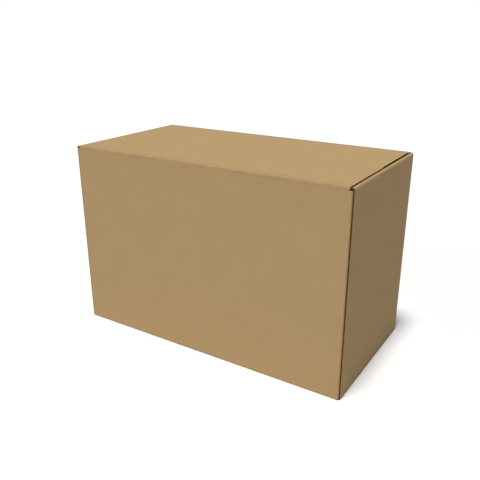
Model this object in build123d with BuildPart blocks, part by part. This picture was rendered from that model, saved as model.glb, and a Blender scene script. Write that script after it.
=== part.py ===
"""Closed roll-end mailer box, folded from one die-cut blank of E-flute board.

Origin: middle of the footprint, on the surface that the box stands on.
+X runs along the length, +Y from the hinge wall to the front wall, +Z up. Millimetres.

The blank is one piece. It is parted in two solids only at the crease that the lid hinges on:
    tray  base, back and front walls, corner flaps, rolled double end walls with their tabs
    lid   lid panel, front tuck flap, two dust wings
"""

import os
from math import cos, degrees, radians, sin

from build123d import *

# Overall outside sizes of the closed box
length = 396.0
depth = 200.0
height = 255.0

# The board and how it folds
board = 1.5            # thickness of the board
layer_gap = 0.15       # play between two layers that lie against each other
fold_inner_r = 0.2     # inside radius of an ordinary crease
crease_inner_r = 1.0   # inside radius of the softer crease that the lid hinges on
hinge_gap = 0.3        # parting line between tray and lid in that crease

# Rolled double end walls
end_edge_setback = 1.7  # outer end panel's upright edges, behind the faces of the long walls
roll_drop = 0.5         # top of the roll below the top of the lid

# Corner flaps, held between the two layers of each end wall
flap_reach = 70.0
flap_corner_r = 10.0
notch_height = 3.6      # relief below the lid's crease, at both of its ends

# Tabs on the inner end panels, which lock into slots along the base
tab_length = 30.0
tab_spacing = 100.0
tab_end_gap = 0.2       # tab's tip above the underside of the base
slot_end_gap = 0.5

# Lid panel, which lies between the two rolls
lid_play = 0.3          # lid and its flaps to the walls that they slide along
front_drop = 0.3        # front wall's top edge below the top of the lid

# Tuck flap, which leans inwards so that it swings out past the front wall
tuck_height = 30.0
tuck_lean = 5.0
tuck_side_gap = 3.0
tuck_corner_r = 12.0

# Dust wings, on the front half of the lid
wing_height = 25.0
wing_front_gap = 10.0   # wing's front edge behind the front wall's inner face
wing_corner_r = 10.0
wing_relief = 1.0       # die-cut relief at each end of a wing's crease

# Derived places
half_length = length / 2
half_depth = depth / 2
fold_r = fold_inner_r + board
crease_r = crease_inner_r + board
roll_r = board / 2 + layer_gap + board               # one flap and its play inside the roll
end_stack = 2 * roll_r                               # outer panel, flap and inner panel
inner_half_length = half_length - end_stack          # inner faces of the end walls
inner_half_depth = half_depth - board                # inner faces of the long walls
tab_middle = inner_half_length + board / 2           # middle of the inner end panels' board
layer_floor = board + layer_gap                      # lowest edge of what stands on the base
flap_face = half_length - layer_floor                # outer faces of the corner flaps
wall_half_length = flap_face - fold_r                # flat part of the long walls
notch_floor = height - notch_height
roll_top = height - roll_drop
lid_half_length = inner_half_length - lid_play
wing_front = inner_half_depth - wing_front_gap
tuck_face = inner_half_depth - lid_play
crease_arc = 45 - degrees(hinge_gap / 2 / crease_r)  # each solid's share of the lid's crease


with BuildPart() as tray:
    # Back wall, base and front wall are one band. The outer face is drawn first, in every section.
    with BuildSketch(Plane.YZ):
        with BuildLine():
            band = FilletPolyline(
                (half_depth, height - front_drop),
                (half_depth, 0),
                (-half_depth, 0),
                (-half_depth, notch_floor),
                radius=fold_r,
            )
            offset(band, amount=board, side=Side.RIGHT)
        make_face()
    extrude(amount=wall_half_length, both=True)

    # The back wall's top edge carries the lower half of the lid's crease, between its end notches
    with BuildSketch(Plane.YZ):
        with BuildLine():
            rise = Line((-half_depth, notch_floor), (-half_depth, height - crease_r))
            JernArc(start=rise @ 1, tangent=rise % 1, radius=crease_r, arc_size=-crease_arc)
            offset(amount=board, side=Side.RIGHT)
        make_face()
    extrude(amount=lid_half_length, both=True)

    # Base out to the creases of the end walls, with a slot for each tab
    with BuildSketch(Plane.XY):
        Rectangle(length - 2 * fold_r, depth - 2 * fold_r)
    extrude(amount=board)
    with BuildSketch(Plane.XY):
        with GridLocations(2 * tab_middle, tab_spacing, 2, 2):
            Rectangle(board + 2 * layer_gap, tab_length + 2 * slot_end_gap)
    extrude(amount=board, mode=Mode.SUBTRACT)

    # Outer end panels: up from the base and over to the top of the roll
    with BuildSketch(Plane.XZ):
        with BuildLine():
            side = FilletPolyline(
                (half_length - fold_r - board / 2, 0),
                (half_length, 0),
                (half_length, roll_top - roll_r),
                radius=fold_r,
            )
            JernArc(start=side @ 1, tangent=side % 1, radius=roll_r, arc_size=90)
            offset(amount=board, side=Side.LEFT)
        make_face()
        mirror(about=Plane.YZ)
    extrude(amount=half_depth - end_edge_setback, both=True)

    # Inner end panels: down from the top of the roll, held between the long walls
    with BuildSketch(Plane.XZ):
        with BuildLine():
            over = JernArc(
                start=(half_length - roll_r, roll_top), tangent=(-1, 0), radius=roll_r, arc_size=90
            )
            Line(over @ 1, (inner_half_length, layer_floor))
            offset(amount=board, side=Side.LEFT)
        make_face()
        mirror(about=Plane.YZ)
    extrude(amount=inner_half_depth - layer_gap, both=True)

    # Tabs on the inner end panels' lower edges
    with BuildSketch(Plane.XY.offset(tab_end_gap)):
        with GridLocations(2 * tab_middle, tab_spacing, 2, 2):
            Rectangle(board, tab_length)
    extrude(amount=layer_floor - tab_end_gap)

    # Corner flaps: round each upright crease and in between the layers of the end wall
    with BuildSketch(Plane.XY.offset(layer_floor)):
        with BuildLine():
            FilletPolyline(
                (wall_half_length - board, -half_depth),
                (flap_face, -half_depth),
                (flap_face, flap_reach - half_depth),
                radius=fold_r,
            )
            offset(amount=board, side=Side.LEFT)
        make_face()
        mirror(about=Plane.YZ)
        mirror(about=Plane.XZ)
    extrude(amount=notch_floor - layer_floor)
    flap_ends = tray.edges(Select.LAST).filter_by(Axis.X)
    fillet(
        flap_ends.filter_by_position(Axis.Y, flap_reach - half_depth, half_depth - flap_reach),
        radius=flap_corner_r,
    )


with BuildPart() as lid:
    # Panel, with the upper half of the crease along its back edge
    with BuildSketch(Plane.YZ):
        with BuildLine():
            top = Line((tuck_face - fold_r, height), (crease_r - half_depth, height))
            JernArc(start=top @ 1, tangent=top % 1, radius=crease_r, arc_size=crease_arc)
            offset(amount=board, side=Side.LEFT)
        make_face()
    extrude(amount=lid_half_length, both=True)

    # The front half is narrower where the wings' creases take over
    with BuildSketch(Plane.XY.offset(height)):
        with Locations((lid_half_length, 0), (-lid_half_length, 0)):
            Rectangle(2 * fold_r, wing_front + wing_relief, align=(Align.CENTER, Align.MIN))
    extrude(amount=-board, mode=Mode.SUBTRACT)

    # Dust wings, folded down along the inner faces of the end walls
    with BuildSketch(Plane.XZ.offset(-wing_front)):
        with BuildLine():
            FilletPolyline(
                (lid_half_length - 2 * fold_r, height),
                (lid_half_length, height),
                (lid_half_length, height - wing_height),
                radius=fold_r,
            )
            offset(amount=board, side=Side.RIGHT)
        make_face()
        mirror(about=Plane.YZ)
    extrude(amount=wing_front - wing_relief)
    fillet(
        lid.edges(Select.LAST).filter_by(Axis.X).group_by(Axis.Z)[0],
        radius=wing_corner_r,
    )

    # Tuck flap, folded down inside the front wall
    with BuildSketch(Plane.YZ):
        with BuildLine():
            FilletPolyline(
                (tuck_face - 2 * fold_r, height),
                (tuck_face, height),
                (
                    tuck_face - tuck_height * sin(radians(tuck_lean)),
                    height - tuck_height * cos(radians(tuck_lean)),
                ),
                radius=fold_r,
            )
            offset(amount=board, side=Side.RIGHT)
        make_face()
    extrude(amount=inner_half_length - tuck_side_gap, both=True)
    tuck_edge = lid.faces(Select.LAST).sort_by(Axis.Z)[0]
    fillet(tuck_edge.edges().filter_by(Axis.X, reverse=True), radius=tuck_corner_r)


os.makedirs("parts", exist_ok=True)
tray.part.label = "tray"
export_step(tray.part, "parts/tray.step")
lid.part.label = "lid"
export_step(lid.part, "parts/lid.step")
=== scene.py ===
# %% [markdown]
# # A mailer box, die-cut and folded from one sheet
#
# A roll-end mailer starts as one flat piece of corrugated board. A die cuts its outline and presses
# its creases, and then it is folded up by hand, with no glue and no tape. We make it the same way:
# draw the flat blank, score it, fold it, and only then give the board its thickness. Building each
# panel in its folded place would also work, but then nothing would prove that they are one sheet.
#
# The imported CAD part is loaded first. It says how big everything is and where the lid turns.

# %% Load the frame
import math
from collections import namedtuple

import bmesh
import bpy
from mathutils import Matrix, Vector, noise
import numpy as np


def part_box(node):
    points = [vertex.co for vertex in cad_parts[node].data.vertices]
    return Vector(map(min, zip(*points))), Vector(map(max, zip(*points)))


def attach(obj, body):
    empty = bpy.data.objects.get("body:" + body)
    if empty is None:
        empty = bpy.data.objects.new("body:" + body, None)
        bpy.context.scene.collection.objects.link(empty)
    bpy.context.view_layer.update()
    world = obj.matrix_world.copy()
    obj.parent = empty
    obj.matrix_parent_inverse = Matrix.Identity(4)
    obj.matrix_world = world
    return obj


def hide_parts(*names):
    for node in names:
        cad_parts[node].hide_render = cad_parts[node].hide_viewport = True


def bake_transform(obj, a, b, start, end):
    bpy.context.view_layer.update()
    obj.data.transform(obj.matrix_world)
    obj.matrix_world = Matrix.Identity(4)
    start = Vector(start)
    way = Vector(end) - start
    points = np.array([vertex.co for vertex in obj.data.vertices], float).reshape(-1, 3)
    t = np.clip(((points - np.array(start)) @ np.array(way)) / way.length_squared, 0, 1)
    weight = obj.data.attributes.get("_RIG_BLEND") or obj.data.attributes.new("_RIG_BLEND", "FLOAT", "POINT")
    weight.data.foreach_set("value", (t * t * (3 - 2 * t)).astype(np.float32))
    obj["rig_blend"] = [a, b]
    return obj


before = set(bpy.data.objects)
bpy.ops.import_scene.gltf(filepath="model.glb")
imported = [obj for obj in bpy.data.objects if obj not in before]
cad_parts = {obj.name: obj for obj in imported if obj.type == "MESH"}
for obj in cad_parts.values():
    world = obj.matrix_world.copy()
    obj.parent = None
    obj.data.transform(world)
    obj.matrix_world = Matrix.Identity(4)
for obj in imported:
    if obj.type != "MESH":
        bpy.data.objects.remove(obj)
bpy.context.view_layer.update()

tray_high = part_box("tray")[1]
lid_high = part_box("lid")[1]

# %% [markdown]
# ## Sizes of the board and its folds
#
# A fold in board is not a sharp line. The outer liner wraps round a small radius, and the sheet
# uses up an arc of its own length there. The large sizes come from the frame, and the rest are
# those of the die: thickness, crease radii, play between layers, flaps and tabs.

# %% Sizes
MM = 0.001
QUARTER = math.pi / 2

HALF_LENGTH = tray_high.x
HALF_DEPTH = tray_high.y
HEIGHT = lid_high.z
FRONT_TOP = tray_high.z
LID_HALF_LENGTH = lid_high.x

BOARD = 1.5 * MM
LAYER_GAP = 0.15 * MM
FOLD_R = 0.2 * MM + BOARD
CREASE_R = 1.0 * MM + BOARD
ROLL_R = BOARD / 2 + LAYER_GAP + BOARD
ROLL_TOP = HEIGHT - 0.5 * MM
LAYER_FLOOR = BOARD + LAYER_GAP
INNER_HALF_LENGTH = HALF_LENGTH - 2 * ROLL_R
INNER_HALF_DEPTH = HALF_DEPTH - BOARD
WALL_HALF_LENGTH = HALF_LENGTH - LAYER_FLOOR - FOLD_R
END_HALF_WIDTH = HALF_DEPTH - 1.7 * MM
NOTCH_FLOOR = HEIGHT - 3.6 * MM

FLAP_REACH = 70 * MM
FLAP_CORNER_R = 10 * MM
TAB_LENGTH = 30 * MM
TAB_SPACING = 100 * MM
TAB_CORNER_R = 0.8 * MM
TAB_END_GAP = 0.2 * MM
SLOT_END_GAP = 0.5 * MM

LID_PLAY = 0.3 * MM
TUCK_TURN = math.radians(95)
TUCK_HEIGHT = 30 * MM
TUCK_CORNER_R = 12 * MM
TUCK_HALF_LENGTH = INNER_HALF_LENGTH - 3 * MM
WING_HEIGHT = 25 * MM
WING_CORNER_R = 10 * MM
WING_RELIEF = 1 * MM

# %% [markdown]
# ## Where each crease lies on the flat blank
#
# The base lies in the middle of the blank with its outer face down. Walking outwards from it, every
# flat panel and every arc adds its own length. The back arm carries the back wall, the lid and the
# tuck flap, the front arm only a wall, and the end arms roll over and come down again inside.

# %% Stations on the flat blank
BACK_FOOT = HALF_DEPTH - FOLD_R
BACK_WALL = BACK_FOOT + FOLD_R * QUARTER
NOTCH = BACK_WALL + NOTCH_FLOOR - FOLD_R
CREASE = BACK_WALL + HEIGHT - CREASE_R - FOLD_R
LID = CREASE + CREASE_R * QUARTER
LID_MIDDLE = LID + HALF_DEPTH - CREASE_R
WING_START = LID_MIDDLE + WING_RELIEF
WING_END = LID_MIDDLE + INNER_HALF_DEPTH - 10 * MM
TUCK_SETBACK = FOLD_R * math.tan(TUCK_TURN / 2)
TUCK_CREASE = LID_MIDDLE + INNER_HALF_DEPTH - LID_PLAY - TUCK_SETBACK
TUCK = TUCK_CREASE + FOLD_R * TUCK_TURN
TUCK_TIP = TUCK + TUCK_HEIGHT - TUCK_SETBACK
FRONT_TIP = BACK_WALL + FRONT_TOP - FOLD_R

END_FOOT = HALF_LENGTH - FOLD_R
END_WALL = END_FOOT + FOLD_R * QUARTER
ROLL = END_WALL + ROLL_TOP - ROLL_R - FOLD_R
INNER_WALL = ROLL + ROLL_R * math.pi
INNER_TIP = INNER_WALL + ROLL_TOP - ROLL_R - LAYER_FLOOR
TAB_TIP = INNER_TIP + LAYER_FLOOR - TAB_END_GAP

FLAP = WALL_HALF_LENGTH + FOLD_R * QUARTER
FLAP_TIP = FLAP + FLAP_REACH - FOLD_R
WING_CREASE = LID_HALF_LENGTH - FOLD_R
WING = WING_CREASE + FOLD_R * QUARTER
WING_TIP = WING + WING_HEIGHT - FOLD_R
print("flat blank", round(2 * TAB_TIP, 3), "x", round(TUCK_TIP + FRONT_TIP, 3), "m")

# %% [markdown]
# ## Panels
#
# Each panel is a rectangle on the flat sheet. Its free corners are rounded before anything else, as
# the die does it. A vertex bevel on a single face cuts exactly such a corner, with offset_type
# "OFFSET" so that the width of the bevel is the radius.

# %% Panels of the blank
def panel(bm, x_span, y_span, corner_r=0.0, free=None):
    """Adds a flat rectangle, and rounds the corners for which free(co) is true."""
    half = Vector((x_span[1] - x_span[0], y_span[1] - y_span[0], 2)) / 2
    middle = Vector((x_span[1] + x_span[0], y_span[1] + y_span[0], 0)) / 2
    place = Matrix.Translation(middle) @ Matrix.Diagonal(half).to_4x4()
    made = bmesh.ops.create_grid(bm, x_segments=1, y_segments=1, size=1, matrix=place)
    if corner_r:
        corners = [v for v in made["verts"] if free(v.co)]
        bmesh.ops.bevel(
            bm, geom=corners, offset=corner_r, offset_type="OFFSET", affect="VERTICES",
            segments=8, profile=0.5, material=-1,
        )


def both_ends(bm, x_span, y_span, corner_r=0.0, free=None):
    """The same panel at each end of the blank."""
    panel(bm, x_span, y_span, corner_r, free)
    panel(bm, (-x_span[1], -x_span[0]), y_span, corner_r, free)


blank = bmesh.new()
# back wall, base and front wall as one band, then the lid up to where its wings begin
panel(blank, (-WALL_HALF_LENGTH, WALL_HALF_LENGTH), (-NOTCH, FRONT_TIP))
panel(blank, (-LID_HALF_LENGTH, LID_HALF_LENGTH), (-LID_MIDDLE, -NOTCH))
# front half of the lid, its last strip at full width, and the tuck flap
panel(blank, (-WING_CREASE, WING_CREASE), (-WING_END - WING_RELIEF, -LID_MIDDLE))
panel(blank, (-LID_HALF_LENGTH, LID_HALF_LENGTH), (-TUCK_CREASE, -WING_END - WING_RELIEF))
panel(
    blank, (-TUCK_HALF_LENGTH, TUCK_HALF_LENGTH), (-TUCK_TIP, -TUCK_CREASE),
    TUCK_CORNER_R, lambda co: co.y < -TUCK,
)
both_ends(
    blank, (WING_CREASE, WING_TIP), (-WING_END, -WING_START),
    WING_CORNER_R, lambda co: abs(co.x) > WING,
)
# end walls: last strip of the base, then outer panel, roll and inner panel in one, and the tabs
both_ends(blank, (WALL_HALF_LENGTH, INNER_TIP), (-END_HALF_WIDTH, END_HALF_WIDTH))
for middle in (-TAB_SPACING / 2, TAB_SPACING / 2):
    both_ends(
        blank, (INNER_TIP, TAB_TIP), (middle - TAB_LENGTH / 2, middle + TAB_LENGTH / 2),
        TAB_CORNER_R, lambda co: abs(co.x) > INNER_TIP + TAB_END_GAP,
    )
# corner flaps, two on the back wall and two on the front wall
for near, far in ((-NOTCH, -BACK_WALL), (BACK_WALL, NOTCH)):
    both_ends(
        blank, (WALL_HALF_LENGTH, FLAP_TIP), (near, far), FLAP_CORNER_R, lambda co: abs(co.x) > FLAP
    )
print("panels on the blank", len(blank.faces))

# %% [markdown]
# ## The creases
#
# Every crease is written down once: which way its panel points on the flat sheet, where its arc
# starts and ends along that way, how far it turns, and which part of the sheet it moves. They are
# listed from the tips inwards, because a fold is only simple while everything nearer to the base
# still lies flat.

# %% Table of creases
RIGHT, LEFT = Vector((1, 0, 0)), Vector((-1, 0, 0))
BACK, FRONT = Vector((0, -1, 0)), Vector((0, 1, 0))
NEAR = 1e-6        # tolerance, a thousandth of a millimetre

Crease = namedtuple("Crease", "out start end turn steps moves")


def on_wing(x, y):
    return WING_START - NEAR < -y < WING_END + NEAR


def on_flap(x, y):
    return BACK_WALL - NEAR < abs(y) < NOTCH + NEAR


def on_end(x, y):
    return abs(x) > END_FOOT - NEAR and abs(y) < INNER_HALF_DEPTH


def on_wall(x, y):
    return not on_end(x, y)


def anywhere(x, y):
    return True


creases = [
    Crease(BACK, TUCK_CREASE, TUCK, TUCK_TURN, 8, anywhere),
    Crease(RIGHT, WING_CREASE, WING, QUARTER, 8, on_wing),
    Crease(LEFT, WING_CREASE, WING, QUARTER, 8, on_wing),
    Crease(BACK, CREASE, LID, QUARTER, 12, anywhere),
    Crease(RIGHT, WALL_HALF_LENGTH, FLAP, QUARTER, 8, on_flap),
    Crease(LEFT, WALL_HALF_LENGTH, FLAP, QUARTER, 8, on_flap),
    Crease(BACK, BACK_FOOT, BACK_WALL, QUARTER, 8, on_wall),
    Crease(FRONT, BACK_FOOT, BACK_WALL, QUARTER, 8, on_wall),
    Crease(RIGHT, ROLL, INNER_WALL, math.pi, 20, on_end),
    Crease(LEFT, ROLL, INNER_WALL, math.pi, 20, on_end),
    Crease(RIGHT, END_FOOT, END_WALL, QUARTER, 8, on_end),
    Crease(LEFT, END_FOOT, END_WALL, QUARTER, 8, on_end),
]


def lines_of(crease):
    """Where the sheet bends: evenly spaced lines across the crease's arc."""
    step = (crease.end - crease.start) / crease.steps
    return [crease.start + step * i for i in range(crease.steps + 1)]


print("creases", len(creases), "bend lines", sum(len(lines_of(c)) for c in creases))

# %% [markdown]
# ## One sheet
#
# The loose rectangles touch, but they don't share vertices yet. Cutting them with a plane at every
# panel edge gives neighbours the same vertices, and one merge turns them into a single sheet. The
# slots for the tabs are then simply faces taken out.

# %% Join the panels
SLOT_X = (INNER_HALF_LENGTH - LAYER_GAP, INNER_HALF_LENGTH + BOARD + LAYER_GAP)
SLOT_HALF_LENGTH = TAB_LENGTH / 2 + SLOT_END_GAP
CREASE_LAND = LID + 6 * MM        # the softened strip of the lid's crease ends here


def score(bm, faces, across, places):
    """Cuts these faces along straight lines at some distances in the direction across."""
    for place in places:
        kept = [f for f in bm.faces if faces(f.calc_center_median())]
        lines = {e for f in kept for e in f.edges}
        ends = {v for f in kept for v in f.verts}
        bmesh.ops.bisect_plane(
            bm, geom=[*ends, *lines, *kept], dist=NEAR / 10,
            plane_co=across * place, plane_no=across,
        )


x_edges = [TUCK_HALF_LENGTH, WING_CREASE, LID_HALF_LENGTH, WALL_HALF_LENGTH]
x_edges += [*SLOT_X, END_FOOT, INNER_TIP]
y_edges = [BACK_FOOT, BACK_WALL, NOTCH]
for half in (TAB_LENGTH / 2, SLOT_HALF_LENGTH):
    y_edges += [TAB_SPACING / 2 - half, TAB_SPACING / 2 + half]
for side in (RIGHT, LEFT):
    score(blank, lambda co: True, side, x_edges)
for side in (BACK, FRONT):
    score(blank, lambda co: True, side, y_edges)
lid_edges = [CREASE_LAND, LID_MIDDLE, WING_START, WING_END, WING_END + WING_RELIEF, TUCK_CREASE]
score(blank, lambda co: True, BACK, lid_edges)


def in_slot(face):
    middle = face.calc_center_median()
    beside = abs(abs(middle.y) - TAB_SPACING / 2)
    return SLOT_X[0] < abs(middle.x) < SLOT_X[1] and beside < SLOT_HALF_LENGTH


bmesh.ops.delete(blank, geom=[f for f in blank.faces if in_slot(f)], context="FACES")
bmesh.ops.remove_doubles(blank, verts=blank.verts[:], dist=NEAR)
print("joined", len(blank.faces), "faces")

# %% [markdown]
# ## Scoring
#
# A crease can only bend where the mesh has edges, so the panels that it joins are cut along its
# bend lines. Beside each crease runs one more line, a shoulder, where the paler fold, partly wear
# and partly painted highlight, fades out. The outer face points down on the flat blank, because
# the walls fold upwards.

# %% Score the creases
SHOULDER = 1.2 * MM
for crease in creases:
    bend = [crease.start - SHOULDER, *lines_of(crease), crease.end + SHOULDER]
    score(blank, lambda co: crease.moves(co.x, co.y), crease.out, bend)
bmesh.ops.recalc_face_normals(blank, faces=blank.faces[:])
if blank.faces[0].normal.z > 0:
    bmesh.ops.reverse_faces(blank, faces=blank.faces[:])
print("scored", len(blank.faces), "faces,", round(sum(f.calc_area() for f in blank.faces), 3), "m2")

# %% [markdown]
# ## The pattern lies on the sheet
#
# Kraft paper is made as one web and only then glued to the flutes, so its grain runs straight on
# over every fold. The place of each point on the flat blank, in metres, becomes the UV map, and
# every pattern in the materials reads it. Object coordinates would start afresh on each wall.

# %% UV map from the flat blank
blank.verts.layers.float_vector.new("flat")
blank.verts.layers.float_vector.new("inward")
blank.verts.layers.float.new("fold_wear_and_highlight")
blank.verts.layers.float.new("side_of_board")
sheet_uv = blank.loops.layers.uv.new("sheet")
flat = blank.verts.layers.float_vector["flat"]
fold_wear_and_highlight = blank.verts.layers.float["fold_wear_and_highlight"]
for vert in blank.verts:
    vert[flat] = vert.co
for face in blank.faces:
    for loop in face.loops:
        loop[sheet_uv].uv = loop.vert.co.xy
print("blank spans", [round(max(v.co[i] for v in blank.verts), 3) for i in (0, 1)], "m")

# %% [markdown]
# ## Folding
#
# One fold turns everything beyond each bend line by its share of the angle. The first and the last
# line get half a share, so the chords lie evenly on the arc. bmesh.ops.rotate does each turn.

# %% Fold the blank
UP = Vector((0, 0, 1))


def fold(bm, crease):
    """Rolls the sheet up over one crease, from its outermost bend line to its innermost."""
    lines = lines_of(crease)
    axis = crease.out.cross(UP)
    reach = {v: v[flat].dot(crease.out) for v in bm.verts if crease.moves(v[flat].x, v[flat].y)}
    for line in reversed(lines):
        share = 0.5 if line in (lines[0], lines[-1]) else 1.0
        turn = Matrix.Rotation(crease.turn / crease.steps * share, 3, axis)
        beyond = [v for v, r in reach.items() if r > line + NEAR]
        bmesh.ops.rotate(bm, cent=crease.out * line, matrix=turn, verts=beyond)
    # the arc is marked for a paler tone: partly scuff wear, partly painted highlight
    for vert, r in reach.items():
        if lines[0] - NEAR < r < lines[-1] + NEAR:
            vert[fold_wear_and_highlight] = 1.0


for crease in creases:
    fold(blank, crease)
low = [min(v.co[i] for v in blank.verts) for i in range(3)]
high = [max(v.co[i] for v in blank.verts) for i in range(3)]
print("folded", [round(v * 1000, 2) for v in low], [round(v * 1000, 2) for v in high], "mm")

# %% [markdown]
# ## Kraft liner
#
# The outside of the board is kraft linerboard: unbleached softwood fibres, rolled but not coated.
# It has no gloss to speak of. What the eye gets is an even brown with faint clouds where the web
# was thicker, a slight grain along the web, a few darker fibres, and the flutes telegraphing
# through as shallow waves. Where it is folded the surface is painted a very little paler: partly
# scuff wear, partly a painted highlight on the rounded fold.

# %% Colour and node helpers
def linear(hex_colour):
    """Turns an sRGB hex value into linear RGBA."""
    parts = [int(hex_colour[i:i + 2], 16) / 255 for i in (1, 3, 5)]
    parts = [p / 12.92 if p <= 0.04045 else ((p + 0.055) / 1.055) ** 2.4 for p in parts]
    return (*parts, 1.0)


def add(tree, kind, inputs=None, **settings):
    """Adds one shader node, with its settings, and with its inputs set or linked."""
    made = tree.nodes.new("ShaderNode" + kind)
    for name, value in settings.items():
        setattr(made, name, value)
    for name, value in (inputs or {}).items():
        if isinstance(value, bpy.types.NodeSocket):
            tree.links.new(value, made.inputs[name])
        else:
            made.inputs[name].default_value = value
    return made


FLUTE_PITCH = 3.2 * MM
FLUTES_PER_METRE = 1 / FLUTE_PITCH
print("flutes across the lid", round(2 * HALF_DEPTH * FLUTES_PER_METRE))

# %% [markdown]
# The lid's crease has a tone of its own, painted shade: the arc is painted darker, most of all on
# the wall's side of a line that wanders along the crease. The place of a point across the arc comes
# from its station on the blank: 0 is where the crease leaves the back wall, and 1 is where it
# reaches the lid. Noise moves the line to and fro, and plain ranges fade the painted shade out.

# %% Painted shade on the lid's crease
WANDER = 12 * MM               # one wave of the wandering line
WANDER_REACH = 2.2             # how far noise can move it in all, in widths of the arc
WALL_SIDE = (0.75, 0.45)       # the line's soft edge: all lid side, all wall side
TONE_STARTS = (-0.1, 0.25)     # the tone fades in as the arc begins
TONE_ENDS = (1.1, 0.8)         # and out as it ends


def paint_crease_shade(tree, sheet, paper):
    """Paints shade on the colour paper along the lid's crease, and returns the new colour."""
    station = add(tree, "SeparateXYZ", {"Vector": sheet}).outputs["Y"]
    place = add(
        tree, "MapRange", {"Value": station, "From Min": -CREASE, "From Max": -LID}, clamp=False
    ).outputs["Result"]
    wander = add(tree, "TexNoise", {"Vector": sheet, "Scale": 1 / WANDER, "Detail": 2.0})
    shift = add(
        tree, "Math", {0: wander.outputs["Fac"], 1: WANDER_REACH, 2: -WANDER_REACH / 2},
        operation="MULTIPLY_ADD",
    )
    moved = add(tree, "Math", {0: place, 1: shift.outputs["Value"]}, operation="ADD")
    wall_side = add(
        tree, "MapRange",
        {"Value": moved.outputs["Value"], "From Min": WALL_SIDE[0], "From Max": WALL_SIDE[1]},
    )
    depth = add(
        tree, "MapRange", {"Value": wall_side.outputs["Result"], "To Min": 0.55, "To Max": 0.85}
    )
    begun, not_ended = [
        add(tree, "MapRange", {"Value": place, "From Min": ends[0], "From Max": ends[1]})
        for ends in (TONE_STARTS, TONE_ENDS)
    ]
    on_arc = add(
        tree, "Math", {0: begun.outputs["Result"], 1: not_ended.outputs["Result"]},
        operation="MULTIPLY",
    )
    amount = add(
        tree, "Math", {0: on_arc.outputs["Value"], 1: depth.outputs["Result"]}, operation="MULTIPLY"
    )
    # painted shade: the crease arc is mixed towards a darker brown, #917856
    darkened = add(
        tree, "Mix", {"Factor": amount.outputs["Value"], "A": paper, "B": linear("#917856")},
        data_type="RGBA",
    )
    return darkened.outputs["Result"]


print("arc of the lid's crease", round((LID - CREASE) * 1000, 2), "mm")

# %% [markdown]
# Every pattern below is scaled from a real length: a noise texture with a scale of 1/length has
# features of about that length. The grain is really about 0.3 mm wide, too fine to show at this
# distance, so it is drawn three times as coarse.

# %% Kraft liner material
CLOUD = 45 * MM
GRAIN_LENGTH = 9 * MM
GRAIN_WIDTH = 1.0 * MM
FIBRE = 2.2 * MM
WAVE_HEIGHT = 0.006 * MM


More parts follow.
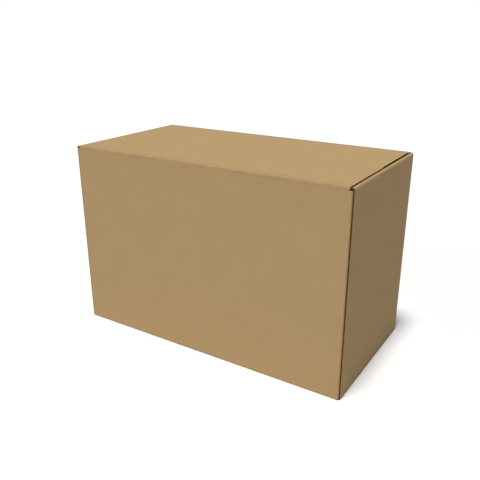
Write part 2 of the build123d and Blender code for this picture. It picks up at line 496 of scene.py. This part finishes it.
def kraft_liner():
    """Uncoated kraft linerboard, unbleached and unprinted."""
    mat = bpy.data.materials.new("kraft_liner")
    mat.use_nodes = True
    tree = mat.node_tree
    shader = tree.nodes["Principled BSDF"]
    sheet = add(tree, "UVMap", uv_map="sheet").outputs["UV"]

    cloud = add(
        tree, "TexNoise", {"Vector": sheet, "Scale": 1 / CLOUD, "Detail": 3.0, "Roughness": 0.55}
    )
    along = add(tree, "Mapping", {"Vector": sheet, "Scale": (1 / GRAIN_WIDTH, 1 / GRAIN_LENGTH, 1)})
    grain = add(tree, "TexNoise", {"Vector": along.outputs["Vector"], "Scale": 1.0, "Detail": 2.0})
    fibre = add(
        tree, "TexNoise", {"Vector": sheet, "Scale": 1 / FIBRE, "Detail": 2.0, "Distortion": 1.5}
    )
    dark_fibre = add(
        tree, "MapRange", {"Value": fibre.outputs["Fac"], "From Min": 0.64, "From Max": 0.72}
    )

    # how light the paper is, from clouds and grain together
    mixed = add(
        tree, "Mix", {"Factor": 0.45, "A": cloud.outputs["Fac"], "B": grain.outputs["Fac"]}
    )
    tone = add(tree, "ValToRGB", {"Fac": mixed.outputs["Result"]})
    tone.color_ramp.elements[0].position = 0.30
    tone.color_ramp.elements[0].color = linear("#a88c63")
    tone.color_ramp.elements[1].position = 0.70
    tone.color_ramp.elements[1].color = linear("#ad9169")
    flecked = add(
        tree, "Mix",
        {"A": tone.outputs["Color"], "B": linear("#987c55")},
        data_type="RGBA",
    )
    fleck = add(tree, "Math", {0: dark_fibre.outputs["Result"], 1: 0.35}, operation="MULTIPLY")
    tree.links.new(fleck.outputs["Value"], flecked.inputs["Factor"])

    # folds: painted paler, unevenly: partly scuffed stretched fibres, partly painted highlight
    wear_and_highlight = add(tree, "Attribute", attribute_name="fold_wear_and_highlight")
    rub = add(tree, "TexNoise", {"Vector": sheet, "Scale": 1 / (4 * MM), "Detail": 3.0})
    uneven = add(
        tree, "MapRange", {"Value": rub.outputs["Fac"], "From Min": 0.3, "From Max": 0.7, "To Max": 0.12}
    )
    scuff_and_highlight = add(
        tree, "Math", {0: wear_and_highlight.outputs["Fac"], 1: uneven.outputs["Result"]}, operation="MULTIPLY"
    )
    folded = add(
        tree, "Mix",
        {"Factor": scuff_and_highlight.outputs["Value"], "A": flecked.outputs["Result"], "B": linear("#bca27b")},
        data_type="RGBA",
    )

    # painted shade along the lid's crease
    crease_shade_colour = paint_crease_shade(tree, sheet, folded.outputs["Result"])
    tree.links.new(crease_shade_colour, shader.inputs["Base Color"])

    rough = add(
        tree, "MapRange", {"Value": grain.outputs["Fac"], "To Min": 0.80, "To Max": 0.92}
    )
    tree.links.new(rough.outputs["Result"], shader.inputs["Roughness"])
    shader.inputs["IOR"].default_value = 1.47
    shader.inputs["Specular IOR Level"].default_value = 0.15

    # relief: fine tooth of the paper, and shallow waves over the flutes
    split = add(tree, "SeparateXYZ", {"Vector": sheet})
    phase = add(
        tree, "Math", {0: split.outputs["Y"], 1: 2 * math.pi * FLUTES_PER_METRE}, operation="MULTIPLY"
    )
    wave = add(tree, "Math", {0: phase.outputs["Value"]}, operation="SINE")
    waves = add(
        tree, "Bump", {"Height": wave.outputs["Value"], "Distance": WAVE_HEIGHT, "Strength": 1.0}
    )
    tooth = add(
        tree, "Bump",
        {
            "Height": grain.outputs["Fac"], "Distance": 0.02 * MM, "Strength": 0.6,
            "Normal": waves.outputs["Normal"],
        },
    )
    tree.links.new(tooth.outputs["Normal"], shader.inputs["Normal"])
    return mat


liner = kraft_liner()
print("liner nodes", len(liner.node_tree.nodes))

# %% [markdown]
# ## Cut edges
#
# Wherever the die cut the sheet, the board shows its section: two thin liners with a wave of
# medium between them, and hollows beside the wave, which get painted shade, a dark brown. The
# flutes run along the box, so the wave shows on the ends of the lid, and the long edges show one
# hollow. The attribute side_of_board is 1 at the outer face and -1 at the inner one, which gives
# the place across the thickness.

# %% Cut edge material
LINER_SHARE = 0.72       # past this share of the half thickness it is liner
MEDIUM_SHARE = 0.30      # half thickness of the medium, drawn a little thick so that it shows


def cut_edge():
    """Die-cut edge of single-wall board: fluted medium between two liners."""
    mat = bpy.data.materials.new("cut_board_edge")
    mat.use_nodes = True
    tree = mat.node_tree
    shader = tree.nodes["Principled BSDF"]
    sheet = add(tree, "UVMap", uv_map="sheet").outputs["UV"]
    split = add(tree, "SeparateXYZ", {"Vector": sheet})
    phase = add(
        tree, "Math", {0: split.outputs["Y"], 1: 2 * math.pi * FLUTES_PER_METRE}, operation="MULTIPLY"
    )
    wave = add(tree, "Math", {0: phase.outputs["Value"]}, operation="SINE")
    medium = add(tree, "Math", {0: wave.outputs["Value"], 1: 0.7}, operation="MULTIPLY")
    across = add(tree, "Attribute", attribute_name="side_of_board").outputs["Fac"]
    on_medium = add(
        tree, "Math", {0: across, 1: medium.outputs["Value"], 2: MEDIUM_SHARE}, operation="COMPARE"
    )
    from_middle = add(tree, "Math", {0: across}, operation="ABSOLUTE")
    on_liner = add(
        tree, "Math", {0: from_middle.outputs["Value"], 1: LINER_SHARE}, operation="GREATER_THAN"
    )
    paper = add(
        tree, "Math", {0: on_medium.outputs["Value"], 1: on_liner.outputs["Value"]}, operation="MAXIMUM"
    )
    # the hollows get painted shade, #33200d; the medium and liners get the paper's own brown
    colour = add(
        tree, "Mix",
        {"Factor": paper.outputs["Value"], "A": linear("#33200d"), "B": linear("#7c592f")},
        data_type="RGBA",
    )
    tree.links.new(colour.outputs["Result"], shader.inputs["Base Color"])
    shader.inputs["Roughness"].default_value = 0.95
    shader.inputs["Specular IOR Level"].default_value = 0.1
    return mat


edge = cut_edge()
print("edge nodes", len(edge.node_tree.nodes))

# %% [markdown]
# Beside the wings the gap along the lid is much darker than beside the plain edge. That shade is
# painted: a third material, near black and rough, covers the steeper part of the wings' creases.

# %% Painted gap shade material
# painted shade: a near-black material stands in for the shade in the gap beside the wings
scored = bpy.data.materials.new("painted_gap_shade")
scored.use_nodes = True
gap_shade_shader = scored.node_tree.nodes["Principled BSDF"]
gap_shade_shader.inputs["Base Color"].default_value = linear("#1c1006")
gap_shade_shader.inputs["Roughness"].default_value = 1.0
gap_shade_shader.inputs["Specular IOR Level"].default_value = 0.0
GAP_SHADE_FROM = WING_CREASE + (WING - WING_CREASE) / 4 - NEAR
print("scored strip", round((WING - GAP_SHADE_FROM) * 1000, 2), "mm")

# %% [markdown]
# ## Three pieces of one sheet
#
# The tray stands still and the lid swings, so the folded sheet is parted at the lid's crease. The
# crease itself becomes a third piece that bends between the two. Each is a copy of the whole sheet
# with the other faces taken out, so they still meet exactly.

# %% Part the sheet
def part_of(first, last):
    """A copy of the sheet with only the faces that lie between two stations of the back arm."""
    bm = blank.copy()
    layer = bm.verts.layers.float_vector["flat"]
    gone = []
    for face in bm.faces:
        station = -sum(v[layer].y for v in face.verts) / len(face.verts)
        if not first < station < last:
            gone.append(face)
    bmesh.ops.delete(bm, geom=gone, context="FACES")
    return bm


def finish_piece(bm, name):
    """Makes the object, with the board's two materials and the painted gap shade."""
    mesh = bpy.data.meshes.new(name)
    bm.to_mesh(mesh)
    bm.free()
    mesh.materials.append(liner)
    mesh.materials.append(edge)
    mesh.materials.append(scored)
    piece = bpy.data.objects.new(name, mesh)
    bpy.context.scene.collection.objects.link(piece)
    return piece


def keep_panels_flat(piece):
    weigh = piece.modifiers.new("flat_panels", "WEIGHTED_NORMAL")
    weigh.mode = "FACE_AREA"
    weigh.weight = 100
    weigh.keep_sharp = True


tray_sheet = part_of(-1, NOTCH)
crease_sheet = part_of(NOTCH, CREASE_LAND)
lid_sheet = part_of(CREASE_LAND, 1)
print("faces", len(tray_sheet.faces), len(crease_sheet.faces), len(lid_sheet.faces))

# %% [markdown]
# ## Board thickness
#
# The inner face is the same sheet again, pushed in by the thickness. extrude_face_region makes the
# copy and closes the rim, and each vertex moves along its normal, a little further on a fold, by
# the factor that calc_shell_factor gives. bmesh.ops.solidify does this in one call, but it can
# throw a vertex far away where a free edge runs out of a fold.
#
# Rims are the cut edges: they get the second material and sharp borders, and everything else is
# shaded smooth, so that a fold rounds softly. A Weighted Normal modifier stops that softness from
# creeping out over the flat panels. The wings' creases get the third material, a painted shade, on
# their outer face.

# %% Thicken the tray and the lid
def give_thickness(bm):
    """Adds the inner face of the board, and marks its cut edges."""
    side = bm.verts.layers.float["side_of_board"]
    inward = bm.verts.layers.float_vector["inward"]
    bm.normal_update()
    for vert in bm.verts:
        vert[inward] = -vert.normal * vert.calc_shell_factor() * BOARD
        vert[side] = 1.0
    made = bmesh.ops.extrude_face_region(bm, geom=bm.faces[:], use_keep_orig=True)["geom"]
    for vert in [g for g in made if isinstance(g, bmesh.types.BMVert)]:
        vert.co += vert[inward]
        vert[side] = -1.0
    for face in bm.faces:
        sides = {vert[side] for vert in face.verts}
        face.material_index = len(sides) - 1
        face.smooth = len(sides) == 1
    for line in bm.edges:
        line.smooth = len({f.material_index for f in line.link_faces}) == 1
    bmesh.ops.recalc_face_normals(bm, faces=bm.faces[:])


def paint_gap_shade(bm):
    """Paints shade on the outer face of the wings' creases: gives it the near-black third material."""
    side = bm.verts.layers.float["side_of_board"]
    layer = bm.verts.layers.float_vector["flat"]
    for face in bm.faces:
        outer = all(vert[side] > 0 for vert in face.verts)
        spots = [vert[layer] for vert in face.verts]
        if outer and all(GAP_SHADE_FROM < abs(p.x) < WING + NEAR and on_wing(p.x, p.y) for p in spots):
            face.material_index = 2


for sheet in (tray_sheet, lid_sheet):
    give_thickness(sheet)
    paint_gap_shade(sheet)
    print("faces that aren't plain liner", sum(1 for f in sheet.faces if f.material_index))
    print("volume of board", round(sheet.calc_volume() * 1e6, 1), "cm3")

tray_board = finish_piece(tray_sheet, "tray_board")
lid_board = finish_piece(lid_sheet, "lid_board")
for piece in (tray_board, lid_board):
    keep_panels_flat(piece)
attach(tray_board, "tray")
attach(lid_board, "lid")
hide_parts("tray")
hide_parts("lid")

# %% [markdown]
# ## The lid's crease
#
# This crease was pressed softer than the others, and it was folded by hand. The board is crushed
# there, a little more in some places than in others, so the line between lid and wall wanders. The
# strip is cut finely along its length and pushed in by a smooth noise, strongest on the arc and
# nothing at its borders. Its thickness comes from a live Solidify modifier, because the board
# has to be thickened after the crease has turned.

# %% Soften the crease
CRUSH_LENGTH = 14 * MM       # one dent to the next
CRUSH_DEPTH = 0.55 * MM      # how far in the deepest reaches
CREASE_CUTS = 180
long_lines = [e for e in crease_sheet.edges if e.calc_length() > HALF_LENGTH]
bmesh.ops.subdivide_edges(crease_sheet, edges=long_lines, cuts=CREASE_CUTS, use_grid_fill=True)
layer = crease_sheet.verts.layers.float_vector["flat"]
middle = (CREASE + LID) / 2
inward = Vector((0, 1, -1)).normalized()
deepest = 0.0
for vert in crease_sheet.verts:
    station = -vert[layer].y
    span = middle - NOTCH if station < middle else CREASE_LAND - middle
    fade = math.cos((station - middle) / span * QUARTER) ** 2
    wander = noise.noise(Vector((vert.co.x / CRUSH_LENGTH, 0.0, 7.3)))
    push = CRUSH_DEPTH * fade * (0.5 + wander)
    vert.co += inward * max(push, 0.0)
    deepest = max(deepest, push)
for face in crease_sheet.faces:
    face.smooth = True
print("crease strip", len(crease_sheet.faces), "faces, deepest", round(deepest * 1000, 2), "mm")

lid_crease = finish_piece(crease_sheet, "lid_crease")
thicken = lid_crease.modifiers.new("board", "SOLIDIFY")
thicken.thickness = BOARD
thicken.offset = -1
thicken.use_even_offset = True
thicken.material_offset_rim = 1
keep_panels_flat(lid_crease)
foot = Vector((0, -HALF_DEPTH, NOTCH_FLOOR))
head = Vector((0, -HALF_DEPTH + HEIGHT - NOTCH_FLOOR, HEIGHT))
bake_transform(lid_crease, "tray", "lid", start=foot, end=head)
blank.free()

# %% [markdown]
# ## Floor, light and camera
#
# Plain board wants a plain pale floor and soft light. Suns light the floor evenly to the horizon.
# One stands almost overhead, mostly for the lid, and a low one comes from the front left, so that
# the long wall is lighter than the end wall. The end wall is lit almost wholly by the floor. The
# world hardly fills the shadows, but to the camera it is as pale as the floor, so that no horizon
# shows.

# %% Floor
floor_mesh = bpy.data.meshes.new("floor")
bm = bmesh.new()
bmesh.ops.create_circle(bm, cap_ends=True, segments=64, radius=60)
bm.to_mesh(floor_mesh)
bm.free()
floor_mat = bpy.data.materials.new("pale_floor")
floor_mat.use_nodes = True
floor_shader = floor_mat.node_tree.nodes["Principled BSDF"]
floor_shader.inputs["Base Color"].default_value = linear("#ebebeb")
floor_shader.inputs["Roughness"].default_value = 0.9
floor_shader.inputs["Specular IOR Level"].default_value = 0.0
floor_mesh.materials.append(floor_mat)
floor = bpy.data.objects.new("floor", floor_mesh)
bpy.context.scene.collection.objects.link(floor)

# %% Light
def sun(name, azimuth, elevation, strength, spread):
    """A distant lamp in the direction azimuth, elevation, as wide as spread degrees."""
    lamp = bpy.data.lights.new(name, "SUN")
    lamp.energy = strength
    lamp.angle = math.radians(spread)
    holder = bpy.data.objects.new(name, lamp)
    turn = math.radians(azimuth)
    lift = math.radians(elevation)
    flat_part = math.cos(lift)
    source = Vector((math.sin(turn) * flat_part, -math.cos(turn) * flat_part, math.sin(lift)))
    holder.rotation_euler = source.to_track_quat("Z", "Y").to_euler()
    bpy.context.scene.collection.objects.link(holder)


sun("overhead", 0, 80, 3.7, 12)
sun("front_left", -35, 17, 0.85, 30)

world = bpy.data.worlds.new("studio")
world.use_nodes = True
tree = world.node_tree
background = tree.nodes["Background"]
background.inputs["Color"].default_value = (1, 1, 1, 1)
seen = add(tree, "LightPath").outputs["Is Camera Ray"]
level = add(tree, "Mix", {"Factor": seen, "A": 0.02, "B": 1.0})
tree.links.new(level.outputs["Result"], background.inputs["Strength"])
bpy.context.scene.world = world
bpy.context.scene.view_settings.view_transform = "Standard"

# %% Camera
camera_data = bpy.data.cameras.new("camera")
camera_data.angle = math.radians(45)
camera = bpy.data.objects.new("camera", camera_data)
camera.location = (0.4012, -0.6350, 0.4119)
azimuth, elevation = math.radians(32.36), math.radians(20.75)
camera.rotation_euler = (QUARTER - elevation, 0, azimuth)
bpy.context.scene.collection.objects.link(camera)
bpy.context.scene.camera = camera
